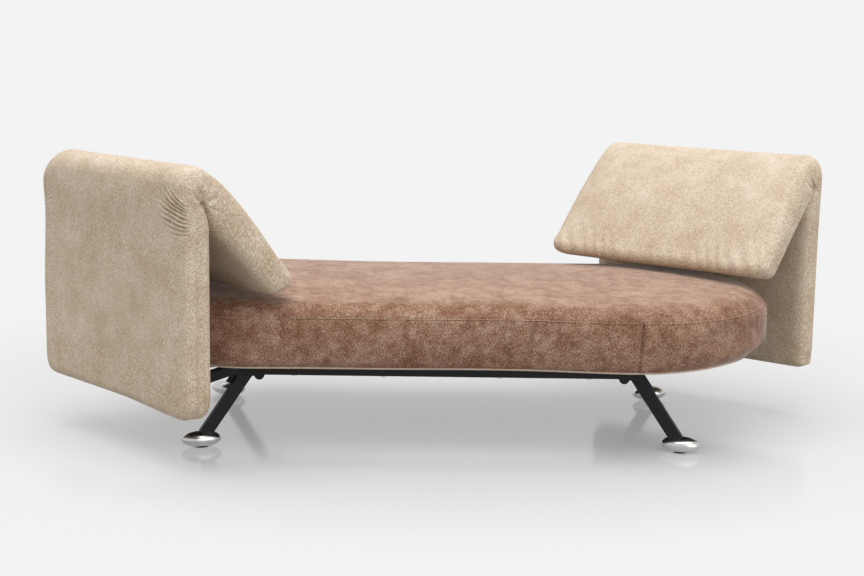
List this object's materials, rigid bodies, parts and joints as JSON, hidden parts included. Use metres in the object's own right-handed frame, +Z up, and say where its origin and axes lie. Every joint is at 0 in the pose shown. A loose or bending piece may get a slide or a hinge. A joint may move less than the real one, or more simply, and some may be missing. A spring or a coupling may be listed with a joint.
{
  "type": "tete-a-tete sofa",
  "caption": "Long round-ended upholstered seat on splayed legs with swivelling folded backs at opposite ends, each with a tilting inner pad.",
  "frame": {"origin": "floor level under the middle of the seat", "axes": "+X along the seat, +Y away from the viewer of the picture, +Z up"},
  "size_m": [2.3678, 1.2767, 0.828],
  "materials": {
    "beige_cloth": "matte woven",
    "brown_cloth": "matte woven",
    "piping_cloth": "matte woven",
    "dust_cloth": "matte",
    "seat_foam": "open-cell foam",
    "plywood": "sealed",
    "polished_aluminium": "polished",
    "glide_plastic": "matte",
    "bearing_plastic": "smooth",
    "zinc_steel": "zinc plated",
    "black_steel": "satin black"
  },
  "bodies": {
    "base": {"front_rail": "black_steel", "rear_rail": "black_steel", "deck_bolts": "zinc_steel", "dust_cloth": "dust_cloth", "seat_deck": "plywood", "seat_core": "seat_foam", "seat_band": "brown_cloth", "seat_top": "brown_cloth", "seat_piping": "piping_cloth", "leg_bolts": "black_steel", "foot_glides": "glide_plastic", "foot_screws": "zinc_steel", "pivot_housings": "black_steel", "pivot_bushes": "bearing_plastic", "thrust_washers": "bearing_plastic", "stop_pins": "zinc_steel", "cross_tube_left": "black_steel", "cross_tube_right": "black_steel", "leg_front_left": "black_steel", "knuckle_front_left": "black_steel", "foot_front_left": "polished_aluminium", "leg_front_right": "black_steel", "knuckle_front_right": "black_steel", "foot_front_right": "polished_aluminium", "leg_rear_left": "black_steel", "knuckle_rear_left": "black_steel", "foot_rear_left": "polished_aluminium", "leg_rear_right": "black_steel", "knuckle_rear_right": "black_steel", "foot_rear_right": "polished_aluminium"},
    "left_back": {"yoke_left": "black_steel", "pivot_pin_left": "zinc_steel", "pin_collar_left": "zinc_steel", "arm_bolts_left": "black_steel", "panel_pad_left": "beige_cloth", "panel_board_left": "plywood", "ridge_leaves_left": "zinc_steel", "leaf_rivets_left": "zinc_steel", "ridge_rod_left": "zinc_steel", "ridge_roll_left": "beige_cloth"},
    "left_flap": {"flap_pad_left": "beige_cloth", "flap_board_left": "plywood", "flap_leaves_left": "zinc_steel", "flap_rivets_left": "zinc_steel"},
    "right_back": {"yoke_right": "black_steel", "pivot_pin_right": "zinc_steel", "pin_collar_right": "zinc_steel", "arm_bolts_right": "black_steel", "panel_pad_right": "beige_cloth", "panel_board_right": "plywood", "ridge_leaves_right": "zinc_steel", "leaf_rivets_right": "zinc_steel", "ridge_rod_right": "zinc_steel", "ridge_roll_right": "beige_cloth"},
    "right_flap": {"flap_pad_right": "beige_cloth", "flap_board_right": "plywood", "flap_leaves_right": "zinc_steel", "flap_rivets_right": "zinc_steel"}
  },
  "joints": [
    {"name": "left_swivel", "type": "hinge", "parent": "base", "child": "left_back", "pos_m": [-0.549, 0, 0.22], "axis": [0, 0, 1], "range_deg": [-92, 8]},
    {"name": "left_fold", "type": "hinge", "parent": "left_back", "child": "left_flap", "pos_m": [-0.91611, -0.33055, 0.788], "axis": [0.6691, -0.7431, 0], "range_deg": [0, 90]},
    {"name": "right_swivel", "type": "hinge", "parent": "base", "child": "right_back", "pos_m": [0.549, 0, 0.22], "axis": [0, 0, 1], "range_deg": [-100, 0]},
    {"name": "right_fold", "type": "hinge", "parent": "right_back", "child": "right_flap", "pos_m": [0.86654, 0.37843, 0.788], "axis": [-0.766, 0.6428, 0], "range_deg": [0, 90]}
  ]
}
